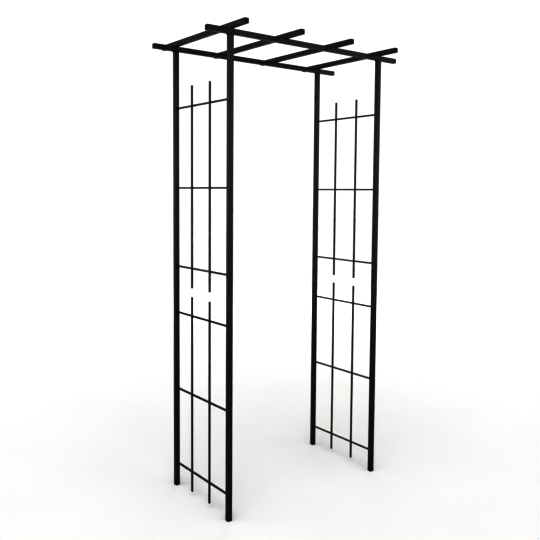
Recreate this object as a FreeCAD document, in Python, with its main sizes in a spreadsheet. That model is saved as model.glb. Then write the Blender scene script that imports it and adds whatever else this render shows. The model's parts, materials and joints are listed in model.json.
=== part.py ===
import FreeCAD, Part
import math
import os
import Sketcher

# A free-standing garden arch: two lattice sides, each made of two stacked panels, and a flat roof
# of two beams and four rafters.  +X runs across the walkway, +Y along it, +Z up, and the origin is
# on the ground at the middle of the plan.  Left is -X and front is -Y.

SIZES = [
    # alias, millimetres, what it is
    ("post_spacing_x", 882.0, "between the post centres, across the walkway"),
    ("post_spacing_y", 452.0, "between the post centres of one side"),
    ("panel_length", 965.0, "height of one side panel, foot cap included"),
    ("stub_length", 153.0, "roof leg, from the upper panel to the beam"),
    ("beam_length", 1118.0, "roof beam, end caps included"),
    ("rafter_length", 686.0, "roof rafter, end caps included"),
    ("tube_side", 22.0, "outer side of every square tube"),
    ("tube_wall", 1.2, "wall of every square tube"),
    ("tube_corner", 2.0, "outer corner radius of the tubes"),
    ("tube_end", 0.5, "rounding round the outside of every cut end of a tube"),
    ("bar_side", 8.0, "side of the solid square bar"),
    ("bar_edge", 0.6, "rounding along the solid bar"),
    ("rod_end", 0.4, "rounding round both ends of a lattice rod"),
    ("low_bar_offset", 111.0, "panel's lower end to its first cross bar's centre"),
    ("bar_pitch", 371.5, "between the cross bars of one panel"),
    ("rod_length", 923.0, "upright lattice rod"),
    ("spigot_length", 110.0, "connector tube, half in each post"),
    ("spigot_wall", 2.0, "wall of the connector tube's sliding half"),
    ("spigot_play", 0.2, "gap each side of the sliding half"),
    ("spigot_corner", 1.4, "outer corner radius of the connector tube"),
    ("cap_flange", 3.0, "end cap's visible plate"),
    ("cap_plug", 15.0, "end cap's plug inside the tube"),
    ("cap_wall", 2.0, "wall of the plug"),
    ("cap_edge", 1.2, "rounding round the cap's visible face"),
    ("plug_corner", 1.0, "corner radius of the plug"),
    ("screw_diameter", 6.0, "nominal thread of every screw"),
    ("thread_gap", 0.1, "radial room between a screw and its nut"),
    ("hole_room", 0.3, "radial room between a screw and a drilled hole"),
    ("head_diameter", 10.5, "button head"),
    ("head_height", 3.3, "button head"),
    ("head_rim", 0.6, "straight rim under the button head's dome"),
    ("socket_width", 4.0, "hexagon socket, across its flats"),
    ("socket_depth", 2.0, "hexagon socket"),
    ("rafter_screw_length", 34.0, "below its head"),
    ("joint_screw_length", 10.0, "below its head"),
    ("joint_screw_offset", 25.0, "joint between two posts to the screw above it"),
    ("nut_width", 10.0, "hexagon weld nut, across its flats"),
    ("nut_height", 5.0, "hexagon weld nut"),
    ("insert_diameter", 9.0, "rivet nut's sleeve"),
    ("insert_length", 12.0, "rivet nut's sleeve"),
    ("insert_collar_diameter", 12.0, "rivet nut's bulge under the wall"),
    ("insert_collar_height", 3.0, "rivet nut's bulge under the wall"),
]

BORE = "(sizes.tube_side - 2 * sizes.tube_wall)"
HOLE = "(sizes.screw_diameter + 2 * sizes.hole_room)"
UPPER_LEVEL = "sizes.panel_length"
STUB_LEVEL = "(2 * sizes.panel_length)"
BEAM_UNDERSIDE = "(2 * sizes.panel_length + sizes.stub_length)"

LEFT_RIGHT = {"left": -1, "right": 1}
FRONT_REAR = {"front": -1, "rear": 1}
PANELS = {"lower": "0", "upper": UPPER_LEVEL}
BAR_ROWS = {"low_bar": 0, "middle_bar": 1, "high_bar": 2}
RAFTER_COUNT = 4
TINY = 1e-6

doc = FreeCAD.newDocument("trellis_arch")
Vector = FreeCAD.Vector
subparts = []


def make_sheet():
    sheet = doc.addObject("Spreadsheet::Sheet", "sizes")
    for row, (alias, value, note) in enumerate(SIZES, start=1):
        sheet.set(f"A{row}", alias)
        sheet.set(f"B{row}", str(value))
        sheet.set(f"C{row}", note)
        sheet.setAlias(f"B{row}", alias)
    doc.recompute()
    return sheet


sizes = make_sheet()


def value_of(expression):
    """What an expression over the sheet comes to, in millimetres."""
    return float(sizes.evalExpression(expression))


# ---------------------------------------------------------------- bodies, sketches and features

def new_body(label):
    body = doc.addObject("PartDesign::Body", label)
    body.Label = label
    return body


def new_sketch(body, name, role, offset=None):
    """A sketch on one of the body's own origin planes, lifted along its normal by an expression."""
    plane = next(item for item in body.Origin.OriginFeatures if item.Role == role)
    sketch = body.newObject("Sketcher::SketchObject", name)
    sketch.AttachmentSupport = [(plane, "")]
    sketch.MapMode = "FlatFace"
    if offset:
        sketch.setExpression("AttachmentOffset.Base.z", offset)
    return sketch


def add_outline(sketch, points):
    """A closed run of straight lines through the points."""
    first = sketch.GeometryCount
    count = len(points)
    for index, point in enumerate(points):
        sketch.addGeometry(Part.LineSegment(point, points[(index + 1) % count]))
    for index in range(count):
        following = first + (index + 1) % count
        sketch.addConstraint(Sketcher.Constraint("Coincident", first + index, 2, following, 1))


def add_square(sketch, side):
    """A square centred on the sketch's origin, its side bound to an expression."""
    half = value_of(side) / 2
    corners = [Vector(-half, -half), Vector(half, -half), Vector(half, half), Vector(-half, half)]
    add_outline(sketch, corners)
    for kind, lines in (("Horizontal", (0, 2)), ("Vertical", (1, 3))):
        for line in lines:
            sketch.addConstraint(Sketcher.Constraint(kind, line))
    sketch.addConstraint(Sketcher.Constraint("Equal", 0, 1))
    sketch.addConstraint(Sketcher.Constraint("Symmetric", 0, 1, 1, 2, -1, 1))
    bound = sketch.addConstraint(Sketcher.Constraint("DistanceX", 0, 1, 0, 2, 2 * half))
    sketch.setExpression(f"Constraints[{bound}]", side)


def add_circle(sketch, height, diameter):
    """A circle centred on the sketch's vertical axis, at a height above its origin."""
    centre = Vector(0, value_of(height))
    circle = sketch.addGeometry(Part.Circle(centre, Vector(0, 0, 1), value_of(diameter) / 2))
    sketch.addConstraint(Sketcher.Constraint("PointOnObject", circle, 3, -2))
    rise = sketch.addConstraint(Sketcher.Constraint("DistanceY", -1, 1, circle, 3, centre.y))
    sketch.setExpression(f"Constraints[{rise}]", height)
    width = sketch.addConstraint(Sketcher.Constraint("Diameter", circle, value_of(diameter)))
    sketch.setExpression(f"Constraints[{width}]", diameter)


def pad(body, sketch, length):
    feature = body.newObject("PartDesign::Pad", "Pad")
    feature.Profile = sketch
    feature.setExpression("Length", length)
    doc.recompute()
    return feature


def pocket(body, sketch, length, reverse=False):
    """Cuts a sketch out of the body, and stops if the cut met no material."""
    before = body.Shape.Volume
    feature = body.newObject("PartDesign::Pocket", "Pocket")
    feature.Profile = sketch
    feature.Reversed = reverse
    feature.setExpression("Length", length)
    doc.recompute()
    if body.Shape.Volume > before - TINY:
        raise RuntimeError(f"{body.Label}: {sketch.Label} cuts nothing")
    return feature


def fillet(body, edge_names, radius):
    base = body.Tip
    feature = body.newObject("PartDesign::Fillet", "Fillet")
    feature.Base = (base, edge_names)
    feature.setExpression("Radius", radius)
    doc.recompute()


def corner_edges(shape, side):
    """The edges along Z at the corners of a centred square."""
    half = value_of(side) / 2
    names = []
    for number, edge in enumerate(shape.Edges, start=1):
        start = edge.Vertexes[0].Point
        run = edge.Vertexes[-1].Point - start
        upright = abs(run.x) < TINY and abs(run.y) < TINY and abs(run.z) > TINY
        if upright and abs(abs(start.x) - half) < TINY and abs(abs(start.y) - half) < TINY:
            names.append(f"Edge{number}")
    return names


def edges_at_height(shape, height):
    """The edges that lie wholly in one level plane."""
    names = []
    for number, edge in enumerate(shape.Edges, start=1):
        box = edge.BoundBox
        if abs(box.ZMin - height) < TINY and abs(box.ZMax - height) < TINY:
            names.append(f"Edge{number}")
    return names


def place(item, position, along=Vector(0, 0, 1), drilled=Vector(-1, 0, 0)):
    """Turns a piece so that its Z points along and its -X towards drilled, and moves it."""
    side = along.cross(-drilled)
    turn = FreeCAD.Rotation(-drilled, side, along, "ZXY")
    item.Placement = FreeCAD.Placement(Vector(0, 0, 0), turn)
    for axis, expression in zip("xyz", position):
        item.setExpression(f"Placement.Base.{axis}", expression)


# ---------------------------------------------------------------- what every piece is cut from

def square_stock(label, length, side, radius):
    """Solid square stock along Z from the origin, with its long edges rounded."""
    body = new_body(label)
    section = new_sketch(body, "Section", "XY_Plane")
    add_square(section, side)
    pad(body, section, length)
    fillet(body, corner_edges(body.Shape, side), radius)
    return body


def round_ends(body, length, radius):
    """Rounds the outline of both ends of a piece of stock."""
    ends = edges_at_height(body.Shape, 0) + edges_at_height(body.Shape, value_of(length))
    fillet(body, ends, radius)


def hollow(body, side, radius, length):
    """Bores the body with a square hole that starts at its lower end."""
    bore = new_sketch(body, "Bore", "XY_Plane")
    add_square(bore, side)
    pocket(body, bore, length, reverse=True)
    fillet(body, corner_edges(body.Shape, side), radius)


def drill(body, heights, diameter, both_walls=False):
    """Round holes along X at the given heights, in the -X wall or in both."""
    centres = new_sketch(body, "Holes", "YZ_Plane")
    for height in heights:
        add_circle(centres, height, diameter)
    pocket(body, centres, "sizes.tube_side")
    if both_walls:
        pocket(body, centres, "sizes.tube_side", reverse=True)


def square_tube(label, length, holes=(), diameter=HOLE, both_walls=False):
    body = square_stock(label, length, "sizes.tube_side", "sizes.tube_corner")
    round_ends(body, length, "sizes.tube_end")
    hollow(body, BORE, "sizes.tube_corner - sizes.tube_wall", length)
    if holes:
        drill(body, holes, diameter, both_walls)
    return body


# ---------------------------------------------------------------- side panels

def add_post(panel, side, end):
    """The lower post stands on its foot cap; the upper one slides over a connector."""
    if panel == "lower":
        length = "sizes.panel_length - sizes.cap_flange"
        level = "sizes.cap_flange"
        holes = ()
    else:
        length = "sizes.panel_length"
        level = UPPER_LEVEL
        holes = ["sizes.joint_screw_offset"]
    body = square_tube(f"{panel}_{side}_{end}_post", length, holes)
    place(body, post_axis(side, end) + [level], drilled=towards_passage(side))
    subparts.append(body)


def post_axis(side, end):
    return [f"{LEFT_RIGHT[side]} * sizes.post_spacing_x / 2",
            f"{FRONT_REAR[end]} * sizes.post_spacing_y / 2"]


def towards_passage(side):
    return Vector(-LEFT_RIGHT[side], 0, 0)


def add_cross_bar(panel, side, row):
    """Butts between the two posts, on the passage side of their centre plane."""
    label = f"{panel}_{side}_{row}"
    length = "(sizes.post_spacing_y - sizes.tube_side)"
    body = square_stock(label, length, "sizes.bar_side", "sizes.bar_edge")
    across = f"{LEFT_RIGHT[side]} * (sizes.post_spacing_x - sizes.bar_side) / 2"
    height = f"{PANELS[panel]} + sizes.low_bar_offset + {BAR_ROWS[row]} * sizes.bar_pitch"
    place(body, [across, f"-{length} / 2", height], along=Vector(0, 1, 0), drilled=Vector(0, 0, 1))
    subparts.append(body)


def add_rod(panel, side, end):
    """Lies against the outer faces of the cross bars, at a third of the panel's depth."""
    label = f"{panel}_{side}_{end}_rod"
    body = square_stock(label, "sizes.rod_length", "sizes.bar_side", "sizes.bar_edge")
    round_ends(body, "sizes.rod_length", "sizes.rod_end")
    across = f"{LEFT_RIGHT[side]} * (sizes.post_spacing_x + sizes.bar_side) / 2"
    depth = f"{FRONT_REAR[end]} * sizes.post_spacing_y / 6"
    height = f"{PANELS[panel]} + (sizes.panel_length - sizes.rod_length) / 2"
    place(body, [across, depth, height])
    subparts.append(body)


# ---------------------------------------------------------------- connectors between the posts

def add_spigot(joint, level, side, end):
    """Pressed into the post below; the post above slides over its slimmer half."""
    label = f"{joint}_{side}_{end}_connector"
    slim = f"({BORE} - 2 * sizes.spigot_play)"
    inside = f"({slim} - 2 * sizes.spigot_wall)"
    body = new_body(label)
    for name, width, length in (("Pressed", BORE, "sizes.spigot_length / 2"),
                                ("Sliding", slim, "sizes.spigot_length")):
        section = new_sketch(body, name, "XY_Plane")
        add_square(section, width)
        pad(body, section, length)
    for width in (BORE, slim):
        fillet(body, corner_edges(body.Shape, width), "sizes.spigot_corner")
    hollow(body, inside, "sizes.tube_corner - sizes.tube_wall", "sizes.spigot_length")
    drill(body, ["sizes.spigot_length / 2 + sizes.joint_screw_offset"], HOLE)
    place(body, post_axis(side, end) + [f"{level} - sizes.spigot_length / 2"],
          drilled=towards_passage(side))
    subparts.append(body)


# ---------------------------------------------------------------- roof

def add_stub(side, end):
    """A short leg under the roof beam that slides over the upper panel's connector."""
    body = square_tube(f"roof_{side}_{end}_leg", "sizes.stub_length", ["sizes.joint_screw_offset"])
    place(body, post_axis(side, end) + [STUB_LEVEL], drilled=towards_passage(side))
    subparts.append(body)


def rafter_axis(number):
    """The outer rafters stand over the posts, and the others divide the space evenly."""
    return f"sizes.post_spacing_x * ({number} / {RAFTER_COUNT - 1} - 0.5)"


def add_beam(end):
    length = "(sizes.beam_length - 2 * sizes.cap_flange)"
    holes = [f"{length} / 2 + {rafter_axis(number)}" for number in range(RAFTER_COUNT)]
    body = square_tube(f"{end}_beam", length, holes, diameter="sizes.insert_diameter")
    depth = f"{FRONT_REAR[end]} * sizes.post_spacing_y / 2"
    height = f"{BEAM_UNDERSIDE} + sizes.tube_side / 2"
    place(body, [f"-{length} / 2", depth, height], along=Vector(1, 0, 0), drilled=Vector(0, 0, 1))
    subparts.append(body)


def add_rafter(number):
    length = "(sizes.rafter_length - 2 * sizes.cap_flange)"
    holes = [f"{length} / 2 + {way} * sizes.post_spacing_y / 2" for way in FRONT_REAR.values()]
    body = square_tube(f"rafter_{number + 1}", length, holes, both_walls=True)
    height = f"{BEAM_UNDERSIDE} + 1.5 * sizes.tube_side"
    place(body, [rafter_axis(number), f"-{length} / 2", height],
          along=Vector(0, 1, 0), drilled=Vector(0, 0, 1))
    subparts.append(body)


# ---------------------------------------------------------------- end caps

def cap_body(label):
    """A square plate with rounded edges and a hollow plug, which points along +Z."""
    body = square_stock(label, "sizes.cap_flange", "sizes.tube_side", "sizes.tube_corner")
    fillet(body, edges_at_height(body.Shape, 0), "sizes.cap_edge")
    plug = new_sketch(body, "Plug", "XY_Plane", "sizes.cap_flange")
    add_square(plug, BORE)
    pad(body, plug, "sizes.cap_plug")
    fillet(body, corner_edges(body.Shape, BORE), "sizes.plug_corner")
    hollow_of_plug = new_sketch(body, "Hollow", "XY_Plane", "sizes.cap_flange")
    add_square(hollow_of_plug, f"({BORE} - 2 * sizes.cap_wall)")
    pocket(body, hollow_of_plug, "sizes.cap_plug", reverse=True)
    return body


def add_foot_cap(side, end):
    body = cap_body(f"{side}_{end}_foot_cap")
    place(body, post_axis(side, end) + ["0"])
    subparts.append(body)


# ---------------------------------------------------------------- fasteners

def button_screw(label, length):
    """A button-head screw, its head standing on z = 0 and its shank pointing down."""
    body = new_body(label)
    radius = value_of("sizes.screw_diameter / 2 - sizes.thread_gap")
    reach = value_of(length)
    head = value_of("sizes.head_diameter / 2")
    rim = value_of("sizes.head_rim")
    top = value_of("sizes.head_height")
    dome = (head ** 2 + (top - rim) ** 2) / (2 * (top - rim))
    halfway = math.atan2(head, dome - (top - rim)) / 2
    on_dome = Vector(dome * math.sin(halfway), top - dome + dome * math.cos(halfway))
    points = [Vector(0, top), Vector(0, -reach), Vector(radius, -reach), Vector(radius, 0),
              Vector(head, 0), Vector(head, rim)]
    profile = new_sketch(body, "Profile", "XZ_Plane")
    for start, finish in zip(points, points[1:]):
        profile.addGeometry(Part.LineSegment(start, finish))
    arc = profile.addGeometry(Part.Arc(points[-1], on_dome, points[0]))
    for line in range(arc - 1):
        profile.addConstraint(Sketcher.Constraint("Coincident", line, 2, line + 1, 1))
    for line, kind in enumerate(("Vertical", "Horizontal", "Vertical", "Horizontal", "Vertical")):
        profile.addConstraint(Sketcher.Constraint(kind, line))
    starts_counterclockwise = profile.Geometry[arc].StartPoint.isEqual(points[-1], TINY)
    rim_end, top_end = (1, 2) if starts_counterclockwise else (2, 1)
    profile.addConstraint(Sketcher.Constraint("Coincident", arc - 1, 2, arc, rim_end))
    profile.addConstraint(Sketcher.Constraint("Coincident", 0, 1, arc, top_end))
    profile.addConstraint(Sketcher.Constraint("PointOnObject", 0, 1, -2))
    profile.addConstraint(Sketcher.Constraint("PointOnObject", arc, 3, -2))
    profile.addConstraint(Sketcher.Constraint("PointOnObject", 3, 1, -1))
    bind_distances(profile, (
        ("DistanceX", 1, "sizes.screw_diameter / 2 - sizes.thread_gap"),
        ("DistanceY", 2, length),
        ("DistanceX", 3, "(sizes.head_diameter - sizes.screw_diameter) / 2 + sizes.thread_gap"),
        ("DistanceY", 4, "sizes.head_rim"),
        ("DistanceY", 0, f"-({length} + sizes.head_height)"),
    ))
    revolve(body, profile)
    socket = new_sketch(body, "Socket", "XY_Plane", "sizes.head_height")
    add_hexagon(socket, "sizes.socket_width")
    pocket(body, socket, "sizes.socket_depth")
    return body


def bind_distances(sketch, distances):
    """Binds the length of each listed line, from its start to its end."""
    for kind, line, expression in distances:
        constraint = Sketcher.Constraint(kind, line, 1, line, 2, value_of(expression))
        bound = sketch.addConstraint(constraint)
        sketch.setExpression(f"Constraints[{bound}]", expression)


def revolve(body, profile):
    feature = body.newObject("PartDesign::Revolution", "Revolution")
    feature.Profile = profile
    feature.ReferenceAxis = (profile, ["V_Axis"])
    feature.Angle = 360
    doc.recompute()


def add_hexagon(sketch, flats):
    """A regular hexagon centred on the sketch's origin, with two flats upright."""
    radius = value_of(flats) / math.sqrt(3)
    points = []
    for corner in range(6):
        angle = math.radians(30 + 60 * corner)
        points.append(Vector(radius * math.cos(angle), radius * math.sin(angle)))
    add_outline(sketch, points)
    circle = sketch.addGeometry(Part.Circle(Vector(0, 0), Vector(0, 0, 1), radius), True)
    sketch.addConstraint(Sketcher.Constraint("Coincident", circle, 3, -1, 1))
    for line in range(6):
        sketch.addConstraint(Sketcher.Constraint("PointOnObject", line, 1, circle))
    for line in range(5):
        sketch.addConstraint(Sketcher.Constraint("Equal", line, line + 1))
    sketch.addConstraint(Sketcher.Constraint("Vertical", 5))
    bound = sketch.addConstraint(Sketcher.Constraint("Diameter", circle, 2 * radius))
    sketch.setExpression(f"Constraints[{bound}]", f"{flats} * 2 / sqrt(3)")


def weld_nut(label):
    """A hexagon nut from z = 0 upwards, bored for the screw."""
    outside = doc.addObject("Part::Prism", f"{label}_hexagon")
    outside.Polygon = 6
    outside.setExpression("Circumradius", "sizes.nut_width / sqrt(3)")
    outside.setExpression("Height", "sizes.nut_height")
    bore = doc.addObject("Part::Cylinder", f"{label}_bore")
    bore.setExpression("Radius", "sizes.screw_diameter / 2")
    bore.setExpression("Height", "sizes.nut_height")
    nut = doc.addObject("Part::Cut", label)
    nut.Base = outside
    nut.Tool = bore
    doc.recompute()
    return nut


def rivet_nut(label):
    """A sleeve set flush in a tube's wall, with its bulge clamped under the wall."""
    body = new_body(label)
    inner = value_of("sizes.screw_diameter / 2")
    outer = value_of("sizes.insert_diameter / 2")
    collar = value_of("sizes.insert_collar_diameter / 2")
    wall = value_of("sizes.tube_wall")
    under = value_of("sizes.tube_wall + sizes.insert_collar_height")
    reach = value_of("sizes.insert_length")
    points = [Vector(inner, 0), Vector(inner, -reach), Vector(outer, -reach), Vector(outer, -under),
              Vector(collar, -under), Vector(collar, -wall), Vector(outer, -wall), Vector(outer, 0)]
    profile = new_sketch(body, "Profile", "XZ_Plane")
    add_outline(profile, points)
    for line in range(len(points)):
        kind = "Vertical" if line % 2 == 0 else "Horizontal"
        profile.addConstraint(Sketcher.Constraint(kind, line))
    profile.addConstraint(Sketcher.Constraint("PointOnObject", 0, 1, -1))
    bound = profile.addConstraint(Sketcher.Constraint("DistanceX", -1, 1, 0, 1, inner))
    profile.setExpression(f"Constraints[{bound}]", "sizes.screw_diameter / 2")
    bind_distances(profile, (
        ("DistanceY", 0, "-sizes.insert_length"),
        ("DistanceX", 1, "(sizes.insert_diameter - sizes.screw_diameter) / 2"),
        ("DistanceX", 3, "(sizes.insert_collar_diameter - sizes.insert_diameter) / 2"),
        ("DistanceY", 4, "sizes.insert_collar_height"),
        ("DistanceX", 5, "(sizes.insert_diameter - sizes.insert_collar_diameter) / 2"),
        ("DistanceY", 6, "sizes.tube_wall"),
    ))
    revolve(body, profile)
    return body


# ---------------------------------------------------------------- groups of identical pieces

def spot(x, y, z, along):
    """Where one copy goes: its origin, and the way its Z points."""
    origin = Vector(value_of(x), value_of(y), value_of(z))
    return FreeCAD.Placement(origin, FreeCAD.Rotation(Vector(0, 0, 1), along))


def add_group(label, pattern, spots):
    """One sub-part that holds a copy of the pattern at every spot, as separate solids."""
    copies = []
    for where in spots:
        copy = pattern.Shape.copy()
        copy.Placement = where
        copies.append(copy)
    group = doc.addObject("Part::Feature", label)
    group.Shape = Part.makeCompound(copies)
    group.Placement = FreeCAD.Placement()
    subparts.append(group)


def beam_end_spots():
    spots = []
    for way in LEFT_RIGHT.values():
        for end in FRONT_REAR.values():
            spots.append(spot(f"{way} * sizes.beam_length / 2", f"{end} * sizes.post_spacing_y / 2",
                              f"{BEAM_UNDERSIDE} + sizes.tube_side / 2", Vector(-way, 0, 0)))
    return spots


def rafter_end_spots():
    spots = []
    for number in range(RAFTER_COUNT):
        for way in FRONT_REAR.values():
            spots.append(spot(rafter_axis(number), f"{way} * sizes.rafter_length / 2",
                              f"{BEAM_UNDERSIDE} + 1.5 * sizes.tube_side", Vector(0, -way, 0)))
    return spots


def crossing_spots(height):
    """Over each crossing of a rafter and a beam, at a height above the beams' underside."""
    spots = []
    for number in range(RAFTER_COUNT):
        for way in FRONT_REAR.values():
            spots.append(spot(rafter_axis(number), f"{way} * sizes.post_spacing_y / 2",
                              f"{BEAM_UNDERSIDE} + {height}", Vector(0, 0, 1)))
    return spots


def joint_spots(level, from_axis):
    """On the passage side of the four posts, at a distance from each post's axis."""
    spots = []
    for side, way in LEFT_RIGHT.items():
        for end in FRONT_REAR:
            across, depth = post_axis(side, end)
            spots.append(spot(f"{across} - {way} * ({from_axis})", depth,
                              f"{level} + sizes.joint_screw_offset", towards_passage(side)))
    return spots


def add_fasteners():
    nut_seat = f"({BORE} / 2 - sizes.spigot_play - sizes.spigot_wall - sizes.nut_height)"
    joint_screw = button_screw("joint_screw_pattern", "sizes.joint_screw_length")
    nut = weld_nut("joint_nut_pattern")
    for joint, level in (("middle", UPPER_LEVEL), ("top", STUB_LEVEL)):
        add_group(f"{joint}_joint_screws", joint_screw, joint_spots(level, "sizes.tube_side / 2"))
        add_group(f"{joint}_joint_weld_nuts", nut, joint_spots(level, nut_seat))
    rafter_screw = button_screw("rafter_screw_pattern", "sizes.rafter_screw_length")
    add_group("rafter_screws", rafter_screw, crossing_spots("2 * sizes.tube_side"))
    insert = rivet_nut("rivet_nut_pattern")
    add_group("beam_rivet_nuts", insert, crossing_spots("sizes.tube_side"))


def add_end_caps():
    cap = cap_body("end_cap_pattern")
    add_group("beam_end_caps", cap, beam_end_spots())
    add_group("rafter_end_caps", cap, rafter_end_spots())


# ---------------------------------------------------------------- the whole arch

def build():
    for panel in PANELS:
        for side in LEFT_RIGHT:
            for end in FRONT_REAR:
                add_post(panel, side, end)
                add_rod(panel, side, end)
            for row in BAR_ROWS:
                add_cross_bar(panel, side, row)
    for side in LEFT_RIGHT:
        for end in FRONT_REAR:
            add_foot_cap(side, end)
            add_spigot("middle", UPPER_LEVEL, side, end)
            add_spigot("top", STUB_LEVEL, side, end)
            add_stub(side, end)
    for end in FRONT_REAR:
        add_beam(end)
    for number in range(RAFTER_COUNT):
        add_rafter(number)
    add_end_caps()
    add_fasteners()
    doc.recompute()


def check():
    for item in doc.Objects:
        if "Invalid" in item.State or "Error" in item.State:
            raise RuntimeError(f"{item.Label} failed: {item.State}")
    for item in subparts:
        if item.Shape.isNull() or not item.Shape.isValid():
            raise RuntimeError(f"{item.Label} has no valid shape")


def export():
    os.makedirs("parts", exist_ok=True)
    for item in subparts:
        item.Shape.exportStep(f"parts/{item.Label}.step")
    print(len(subparts), "sub-parts written")


build()
check()
export()
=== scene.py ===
"""The looks of the garden trellis arch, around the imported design."""
import json
import math
import random

import bmesh
import bpy
from mathutils import Matrix, Vector


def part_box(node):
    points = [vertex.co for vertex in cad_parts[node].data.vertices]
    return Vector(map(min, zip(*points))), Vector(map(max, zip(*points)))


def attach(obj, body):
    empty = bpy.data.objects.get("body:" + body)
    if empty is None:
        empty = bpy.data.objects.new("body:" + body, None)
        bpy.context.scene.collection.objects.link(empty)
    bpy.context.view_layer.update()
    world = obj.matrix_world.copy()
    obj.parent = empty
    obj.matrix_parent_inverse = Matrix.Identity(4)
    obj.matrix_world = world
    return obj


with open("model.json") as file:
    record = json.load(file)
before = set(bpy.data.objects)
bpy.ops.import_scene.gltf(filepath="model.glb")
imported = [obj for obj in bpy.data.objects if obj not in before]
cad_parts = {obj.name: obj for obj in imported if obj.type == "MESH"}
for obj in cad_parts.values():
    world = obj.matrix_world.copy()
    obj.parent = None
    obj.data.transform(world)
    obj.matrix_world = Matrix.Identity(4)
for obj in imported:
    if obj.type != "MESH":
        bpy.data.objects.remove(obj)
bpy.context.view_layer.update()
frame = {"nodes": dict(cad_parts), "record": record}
nodes = frame["nodes"]
ROOT = "root"

# ------------------------------------------------------------------ names and places in the frame

SIDES = ("left", "right")
ENDS = ("front", "rear")
PANELS = ("lower", "upper")
BAR_ROWS = ("low_bar", "middle_bar", "high_bar")
JOINT_HEIGHTS = (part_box("upper_left_front_post")[0].z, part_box("roof_left_front_leg")[0].z)

# ------------------------------------------------------------------ node helpers


class Nodes:
    """A short way to build the node tree of a material or of the world."""

    def __init__(self, owner):
        owner.use_nodes = True
        self.owner = owner
        self.tree = owner.node_tree
        self.shader = self.tree.nodes.get("Principled BSDF")
        self.spots = self.add("ShaderNodeTexCoord").outputs
        self.place = self.spots["Object"]

    def add(self, kind, inputs=(), **settings):
        node = self.tree.nodes.new(kind)
        for name, value in settings.items():
            setattr(node, name, value)
        for name, value in dict(inputs).items():
            self.feed(node.inputs[name], value)
        return node

    def feed(self, socket, value):
        if isinstance(value, bpy.types.NodeSocket):
            self.tree.links.new(value, socket)
        else:
            socket.default_value = value

    def noise(self, scale, detail=4.0, roughness=0.5, stretch=(1, 1, 1)):
        """Noise over the object's own coordinates, in waves per metre."""
        mapping = self.add("ShaderNodeMapping", {"Vector": self.place, "Scale": stretch})
        return self.add("ShaderNodeTexNoise", {
            "Vector": mapping.outputs["Vector"], "Scale": scale,
            "Detail": detail, "Roughness": roughness}).outputs["Fac"]

    def spread(self, value, low, high, out_low=0.0, out_high=1.0):
        """A value's stretch from low to high, spread smoothly from out_low to out_high."""
        return self.add("ShaderNodeMapRange", {
            "Value": value, "From Min": low, "From Max": high,
            "To Min": out_low, "To Max": out_high}, interpolation_type="SMOOTHSTEP").outputs["Result"]

    def mix(self, factor, first, second):
        node = self.add("ShaderNodeMix", data_type="RGBA")
        self.feed(node.inputs["Factor"], factor)
        self.feed(node.inputs["A"], first)
        self.feed(node.inputs["B"], second)
        return node.outputs["Result"]

    def shade(self, value):
        """A number as a neutral colour."""
        return self.add("ShaderNodeCombineColor", {
            "Red": value, "Green": value, "Blue": value}).outputs["Color"]

    def maths(self, operation, first, second=0.0):
        node = self.add("ShaderNodeMath", operation=operation)
        self.feed(node.inputs[0], first)
        self.feed(node.inputs[1], second)
        return node.outputs[0]

    def bump(self, height, distance, under=None):
        inputs = {"Height": height, "Distance": distance, "Strength": 1.0}
        if under:
            inputs["Normal"] = under
        return self.add("ShaderNodeBump", inputs).outputs["Normal"]

    def surface(self, **values):
        """Feeds the shader: base_color goes to its Base Color socket, and so on."""
        for name, value in values.items():
            socket_name = name.replace("_", " ").title().replace("Ior", "IOR")
            self.feed(self.shader.inputs[socket_name], value)
        return self.owner


def new_material(name):
    return Nodes(bpy.data.materials.new(name))


def grey(level, warmth=0.0):
    """A neutral colour, a little warm where warmth is above 0."""
    return (level * (1 + warmth), level, level * (1 - warmth), 1.0)


# ------------------------------------------------------------------ materials


RUB_FULL = 0.0008
RUB_GONE = 0.009


def rubbed_at_joints(n):
    """Where one tube was pushed down on the next: a broken ring of rubbed coat at each joint."""
    height = n.add("ShaderNodeSeparateXYZ", {"Vector": n.place}).outputs["Z"]
    rings = []
    for joint in JOINT_HEIGHTS:
        away = n.maths("ABSOLUTE", n.maths("SUBTRACT", height, joint))
        rings.append(n.spread(away, RUB_FULL, RUB_GONE, 1.0, 0.0))
    broken = n.spread(n.noise(420, detail=3.0, roughness=0.6), 0.47, 0.62)
    return n.maths("MULTIPLY", n.maths("ADD", *rings), broken)


def powder_coat(name, level, warmth):
    """Satin black powder coat: orange peel, fine grain, rain streaks, dust and dulled patches."""
    n = new_material(name)
    waves = n.noise(300, detail=0.0)
    peel = n.noise(900, detail=1.0, roughness=0.4)
    grain = n.noise(3600, detail=3.0, roughness=0.6)
    clouds = n.noise(9, detail=5.0, roughness=0.6)
    streaks = n.noise(60, detail=4.0, roughness=0.55, stretch=(1, 1, 0.06))
    specks = n.noise(520, detail=1.0, roughness=0.4)
    rubbed = rubbed_at_joints(n)

    deep = grey(level * 0.8, warmth)
    faded = grey(level * 1.35, warmth * 1.4)
    body = n.mix(n.spread(clouds, 0.35, 0.7), deep, faded)
    washed = n.mix(n.spread(streaks, 0.52, 0.75, 0.0, 0.5), body, grey(level * 2.2, 0.02))
    dusty = n.mix(n.spread(specks, 0.7, 0.78, 0.0, 0.55), washed, grey(0.09, 0.08))
    worn = n.mix(n.maths("MULTIPLY", rubbed, 0.7), dusty, grey(0.075, 0.05))

    patches = n.spread(clouds, 0.3, 0.7, 0.36, 0.46)
    dull = n.maths("ADD", patches, n.maths("MULTIPLY", rubbed, 0.12))
    rough = n.maths("ADD", dull, n.spread(grain, 0.3, 0.7, 0.0, 0.06))
    normal = n.bump(grain, 0.000012, n.bump(peel, 0.00005, n.bump(waves, 0.00009)))
    return n.surface(base_color=worn, roughness=rough, normal=normal, specular_ior_level=0.5)


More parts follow.
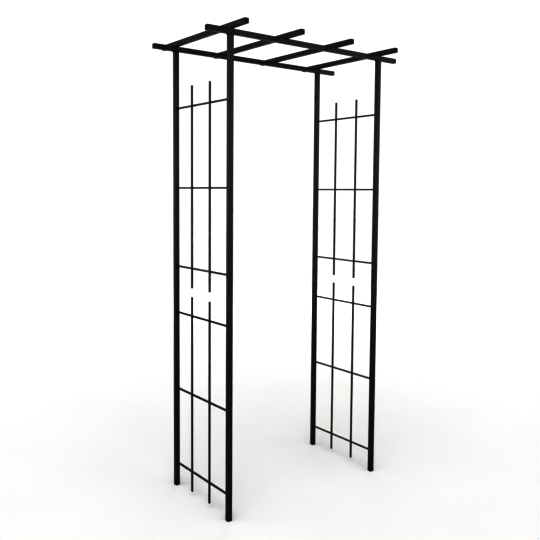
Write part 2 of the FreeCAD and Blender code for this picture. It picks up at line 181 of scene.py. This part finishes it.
def cap_plastic(name):
    """Moulded black polyethylene with a spark-eroded grain and soft scuffs."""
    n = new_material(name)
    grain = n.noise(2600, detail=4.0, roughness=0.65)
    scuffs = n.noise(140, detail=5.0, roughness=0.6, stretch=(1.0, 1.0, 0.35))
    tint = n.mix(n.spread(scuffs, 0.5, 0.72), grey(0.009), grey(0.02, 0.03))
    rough = n.spread(scuffs, 0.35, 0.7, 0.58, 0.72)
    return n.surface(base_color=tint, roughness=rough, normal=n.bump(grain, 0.00006),
                     specular_ior_level=0.4)


def black_oxide(name):
    """Blackened screw steel with an oily sheen, worn a little brighter in patches."""
    n = new_material(name)
    wear = n.noise(600, detail=4.0, roughness=0.6)
    fine = n.noise(5000, detail=2.0)
    tint = n.mix(n.spread(wear, 0.52, 0.78), grey(0.02), grey(0.10, 0.02))
    rough = n.spread(wear, 0.3, 0.7, 0.30, 0.46)
    return n.surface(base_color=tint, metallic=0.85, roughness=rough, normal=n.bump(fine, 0.00002))


def zinc_plate(name):
    """Bright zinc with a blueish cast, rolled grain and dull handling marks."""
    n = new_material(name)
    grain = n.noise(900, detail=4.0, roughness=0.6, stretch=(1, 1, 0.04))
    marks = n.noise(70, detail=5.0)
    tint = n.mix(n.spread(marks, 0.4, 0.7), (0.60, 0.62, 0.66, 1), (0.46, 0.47, 0.49, 1))
    handled = n.spread(marks, 0.3, 0.7, 0.26, 0.42)
    rough = n.maths("ADD", handled, n.spread(grain, 0.3, 0.7, 0.0, 0.08))
    return n.surface(base_color=tint, metallic=1.0, roughness=rough, normal=n.bump(grain, 0.00002))


PAINT = {
    "tube_paint": powder_coat("powder_coat_tube", 0.014, 0.12),
    "bar_paint": powder_coat("powder_coat_bar", 0.015, 0.10),
    "cap_plastic": cap_plastic("black_polyethylene"),
    "black_screw": black_oxide("black_oxide_steel"),
    "zinc_steel": zinc_plate("bright_zinc"),
}


def dress_nodes():
    """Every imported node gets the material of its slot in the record."""
    for row in frame["record"]["subparts"]:
        shape = nodes[row["node"]]
        shape.data.materials.clear()
        shape.data.materials.append(PAINT[row["material_slot"]])


# ------------------------------------------------------------------ weld beads


def new_piece(name, mesh, slot):
    """A new visible piece that rides on the arch and takes its slot's paint."""
    piece = bpy.data.objects.new(name, mesh)
    bpy.context.scene.collection.objects.link(piece)
    for polygon in mesh.polygons:
        polygon.use_smooth = True
    mesh.materials.append(PAINT[slot])
    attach(piece, ROOT)
    return piece


BEAD_RIPPLE = 0.0011
BEAD_SINK = 0.0003
BEAD_ARC = 6
RINGS_PER_RIPPLE = 4
FEWEST_RINGS = 8

# a bead's cross-section in shares of its two legs, and how it changes along the bead
TAPER_STEEPNESS = 3.2
TAPER_POWER = 0.6
RIPPLE_SWELL = 0.10
DRIFT_SWELL = 0.07
DRIFTS_PER_BEAD = 1.7
LEAST_REACH = 0.02
BULGE_AT_FACES = 0.80
BULGE_BETWEEN = 0.14

# how far each kind of bead reaches along its two faces, and how far it stops short of an edge
BAR_BEAD = (0.0030, 0.0026)
BAR_BEAD_INSET = 0.0006
ROD_BEAD = (0.0026, 0.0028)
ROD_BEAD_INSET = 0.0005
LEG_BEAD = 0.0048
LEG_BEAD_INSET = 0.0008


def add_bead(sheet, start, end, legs, seed):
    """One weld bead from start to end, in the corner between two faces.

    legs point out of the corner along the two faces, each as long as the bead is wide there. The
    bead bulges between them, swells and shrinks along its run like stacked ripples, closes almost
    to a point at both ends, and is sunk a little into both faces."""
    wander = random.Random(seed)
    phase = wander.uniform(0, math.tau)
    run = end - start
    steps = max(FEWEST_RINGS, round(run.length / BEAD_RIPPLE * RINGS_PER_RIPPLE))
    sink = (legs[0].normalized() + legs[1].normalized()) * BEAD_SINK
    rings = []
    for step in range(steps + 1):
        share = step / steps
        taper = min(1.0, math.sin(math.pi * share) * TAPER_STEEPNESS) ** TAPER_POWER
        ripples = math.pi * run.length * share / BEAD_RIPPLE
        wave = 1 + RIPPLE_SWELL * abs(math.sin(ripples + phase))
        drift = 1 + DRIFT_SWELL * math.sin(math.tau * share * DRIFTS_PER_BEAD + phase)
        reach = max(LEAST_REACH, taper * wave * drift)
        centre = start + run * share - sink
        ring = [sheet.verts.new(centre)]
        for turn in range(BEAD_ARC + 1):
            angle = math.pi / 2 * turn / BEAD_ARC
            bulge = 1.0
            if 0 < turn < BEAD_ARC:
                bulge = BULGE_AT_FACES + BULGE_BETWEEN * math.sin(2 * angle)
            out = legs[0] * math.cos(angle) + legs[1] * math.sin(angle)
            ring.append(sheet.verts.new(centre + out * reach * bulge))
        rings.append(ring)
    for ring, following in zip(rings, rings[1:]):
        for index in range(len(ring)):
            beside = (index + 1) % len(ring)
            sheet.faces.new((ring[index], ring[beside], following[beside], following[index]))
    sheet.faces.new(list(reversed(rings[0])))
    sheet.faces.new(rings[-1])


def finish_beads(name, sheet, slot):
    bmesh.ops.recalc_face_normals(sheet, faces=sheet.faces)
    mesh = bpy.data.meshes.new(name)
    sheet.to_mesh(mesh)
    sheet.free()
    return new_piece(name, mesh, slot)


def bar_welds(panel, side):
    """Beads above and below each cross bar's end, where it meets its post."""
    sheet = bmesh.new()
    for row in BAR_ROWS:
        low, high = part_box(f"{panel}_{side}_{row}")
        for end, post_face, inward in ((0, low.y, 1), (1, high.y, -1)):
            for level, way in ((high.z, 1), (low.z, -1)):
                start = Vector((low.x + BAR_BEAD_INSET, post_face, level))
                finish = Vector((high.x - BAR_BEAD_INSET, post_face, level))
                legs = (Vector((0, inward, 0)) * BAR_BEAD[0], Vector((0, 0, way)) * BAR_BEAD[1])
                add_bead(sheet, start, finish, legs, f"{panel}{side}{row}{end}{way}")
    return finish_beads(f"{panel}_{side}_bar_welds", sheet, "bar_paint")


def rod_welds(panel, side):
    """Beads beside each rod where it crosses a bar, on both sides of the rod."""
    sheet = bmesh.new()
    outward = -1 if side == "left" else 1
    for row in BAR_ROWS:
        bar_low, bar_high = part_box(f"{panel}_{side}_{row}")
        outer_face = bar_low.x if side == "left" else bar_high.x
        for end in ENDS:
            rod_low, rod_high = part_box(f"{panel}_{side}_{end}_rod")
            for edge, way in ((rod_low.y, -1), (rod_high.y, 1)):
                start = Vector((outer_face, edge, bar_low.z + ROD_BEAD_INSET))
                finish = Vector((outer_face, edge, bar_high.z - ROD_BEAD_INSET))
                legs = (Vector((0, way, 0)) * ROD_BEAD[0], Vector((outward, 0, 0)) * ROD_BEAD[1])
                add_bead(sheet, start, finish, legs, f"{panel}{side}{row}{end}{way}")
    return finish_beads(f"{panel}_{side}_rod_welds", sheet, "bar_paint")


def leg_welds():
    """Fillets on the two sides of each roof leg, under its beam."""
    sheet = bmesh.new()
    for side in SIDES:
        for end in ENDS:
            low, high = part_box(f"roof_{side}_{end}_leg")
            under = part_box(f"{end}_beam")[0].z
            for face, way in ((low.x, -1), (high.x, 1)):
                start = Vector((face, low.y + LEG_BEAD_INSET, under))
                finish = Vector((face, high.y - LEG_BEAD_INSET, under))
                legs = (Vector((way, 0, 0)) * LEG_BEAD, Vector((0, 0, -1)) * LEG_BEAD)
                add_bead(sheet, start, finish, legs, f"{side}{end}{way}")
    return finish_beads("roof_leg_welds", sheet, "tube_paint")


# ------------------------------------------------------------------ studio

# "seen" is what the camera sees of the floor and the surround, "cast" is what lights the arch
FLOOR_RADIUS = 60.0
FLOOR_SIDES = 128
FLOOR_SPECKLE = (0.985, 1.0)
# close to the arch the floor the camera sees is painted darker: painted shade that cancels the
# softboxes' extra light on it, so the floor looks evenly white
NEAR_FLOOR_SEEN_PAINTED_SHADE = 0.80
FAR_FLOOR_SEEN = 0.97
PAINTED_SHADE_REACH = (1.2, 6.5)
NEAR_FLOOR_CAST = 0.30
FAR_FLOOR_CAST = 0.80
CAST_REACH = (2.0, 7.0)
SEEN_STRENGTH = 1.1
CAST_STRENGTH = 2.7
SKY_CAST = 0.05
BAND_TINT = (1.0, 0.88, 0.74, 1.0)
BAND_RISE = (0.02, 0.24)
SUN_STRENGTH = 3.0
SUN_WIDTH = math.radians(50)
SUN_LEAN = (math.radians(14), math.radians(-12), 0)
SOFTBOXES = (
    # name, place, height aimed at, width, height, watts, warmth (the share of blue taken out)
    ("front_right", (3.6, -4.9, 2.6), 1.5, 1.8, 1.8, 46, 0.10),
    ("front_left", (-4.4, -5.0, 2.7), 1.3, 1.2, 1.8, 40, 0.04),
    ("left_rear", (-5.0, 2.6, 2.6), 1.3, 1.8, 1.8, 42, 0.0),
    ("right_rear", (4.2, 4.6, 2.8), 1.3, 1.8, 1.8, 55, 0.0),
)
GREEN_TO_BLUE_LOSS = 0.6


def floor():
    """A wide pale disc, dim close to the feet in the light that it casts. What the camera sees of it
    is painted a little darker close to the arch, a painted shade that evens out the softboxes' extra
    light there.
    """
    sheet = bmesh.new()
    bmesh.ops.create_circle(sheet, cap_ends=True, segments=FLOOR_SIDES, radius=FLOOR_RADIUS)
    mesh = bpy.data.meshes.new("studio_floor")
    sheet.to_mesh(mesh)
    sheet.free()
    disc = bpy.data.objects.new("studio_floor", mesh)
    bpy.context.scene.collection.objects.link(disc)
    n = new_material("pale_floor")
    reach = n.add("ShaderNodeVectorMath", {0: n.place}, operation="LENGTH").outputs["Value"]
    cast = n.spread(reach, *CAST_REACH, NEAR_FLOOR_CAST, FAR_FLOOR_CAST)
    speckle = n.spread(n.noise(2.0, detail=4.0), 0.3, 0.7, *FLOOR_SPECKLE)
    # painted shade: the floor's colour is darker close to the arch, where the softboxes add light,
    # and pale further out
    pale = n.spread(reach, *PAINTED_SHADE_REACH, NEAR_FLOOR_SEEN_PAINTED_SHADE, FAR_FLOOR_SEEN)
    seen = n.maths("MULTIPLY", speckle, pale)
    looked_at = n.add("ShaderNodeLightPath").outputs["Is Camera Ray"]
    n.surface(base_color=n.mix(looked_at, n.shade(cast), n.shade(seen)), roughness=0.9,
              specular_ior_level=0.0)
    mesh.materials.append(n.owner)


def surround():
    """White to look at. What it casts is a warm band round the horizon, which the paint mirrors."""
    world = bpy.data.worlds.new("studio_surround")
    bpy.context.scene.world = world
    n = Nodes(world)
    height = n.add("ShaderNodeSeparateXYZ", {"Vector": n.spots["Generated"]}).outputs["Z"]
    band = n.spread(height, *BAND_RISE, 1.0, 0.0)
    cast = n.mix(band, grey(SKY_CAST), BAND_TINT)
    looked_at = n.add("ShaderNodeLightPath").outputs["Is Camera Ray"]
    sky = n.tree.nodes["Background"]
    n.feed(sky.inputs["Color"], n.mix(looked_at, cast, grey(1.0)))
    n.feed(sky.inputs["Strength"], n.spread(looked_at, 0.0, 1.0, CAST_STRENGTH, SEEN_STRENGTH))


def softbox(name, place, aim_height, width, height, watts, warmth):
    """A rectangular lamp, aimed at a height on the arch's upright middle line."""
    light = bpy.data.lights.new(name, "AREA")
    light.shape = "RECTANGLE"
    light.size = width
    light.size_y = height
    light.energy = watts
    light.color = (1.0, 1.0 - GREEN_TO_BLUE_LOSS * warmth, 1.0 - warmth)
    lamp = bpy.data.objects.new(name, light)
    bpy.context.scene.collection.objects.link(lamp)
    lamp.location = place
    towards = Vector((0, 0, aim_height)) - Vector(place)
    lamp.rotation_euler = towards.to_track_quat("-Z", "Y").to_euler()


def overhead_sun():
    """One broad, even light from above, leaning a little."""
    light = bpy.data.lights.new("overhead", "SUN")
    light.energy = SUN_STRENGTH
    light.angle = SUN_WIDTH
    lamp = bpy.data.objects.new("overhead", light)
    bpy.context.scene.collection.objects.link(lamp)
    lamp.rotation_euler = SUN_LEAN


def studio():
    floor()
    surround()
    overhead_sun()
    for settings in SOFTBOXES:
        softbox(*settings)


# ------------------------------------------------------------------ camera

CAMERA_PLACE = Vector((-2.027, -2.566, 1.429))
YAW = math.radians(37.59)
PITCH = math.radians(-4.06)
ROLL = math.radians(0.44)
SENSOR_WIDTH = 36.0
FOCAL_LENGTH = 44.55
LENS_SHIFT = -0.0556
VIEW_GAMMA = 0.5


def camera():
    """At the front left, at two thirds of the arch's height, looking slightly down."""
    level_ahead = Vector((math.sin(YAW), math.cos(YAW), 0))
    ahead = level_ahead * math.cos(PITCH) + Vector((0, 0, math.sin(PITCH)))
    level_right = Vector((math.cos(YAW), -math.sin(YAW), 0))
    level_up = level_right.cross(ahead)
    right = math.cos(ROLL) * level_right + math.sin(ROLL) * level_up
    up = right.cross(ahead)
    turn = Matrix((right, up, -ahead)).transposed()
    lens = bpy.data.cameras.new("studio_camera")
    lens.sensor_width = SENSOR_WIDTH
    lens.lens = FOCAL_LENGTH
    lens.shift_y = LENS_SHIFT
    view = bpy.data.objects.new("studio_camera", lens)
    bpy.context.scene.collection.objects.link(view)
    view.matrix_world = Matrix.Translation(CAMERA_PLACE) @ turn.to_4x4()
    bpy.context.scene.camera = view


# ------------------------------------------------------------------ everything together

dress_nodes()
for panel_name in PANELS:
    for side_name in SIDES:
        bar_welds(panel_name, side_name)
        rod_welds(panel_name, side_name)
leg_welds()
studio()
camera()
view_settings = bpy.context.scene.view_settings
view_settings.view_transform = "Standard"
view_settings.gamma = VIEW_GAMMA
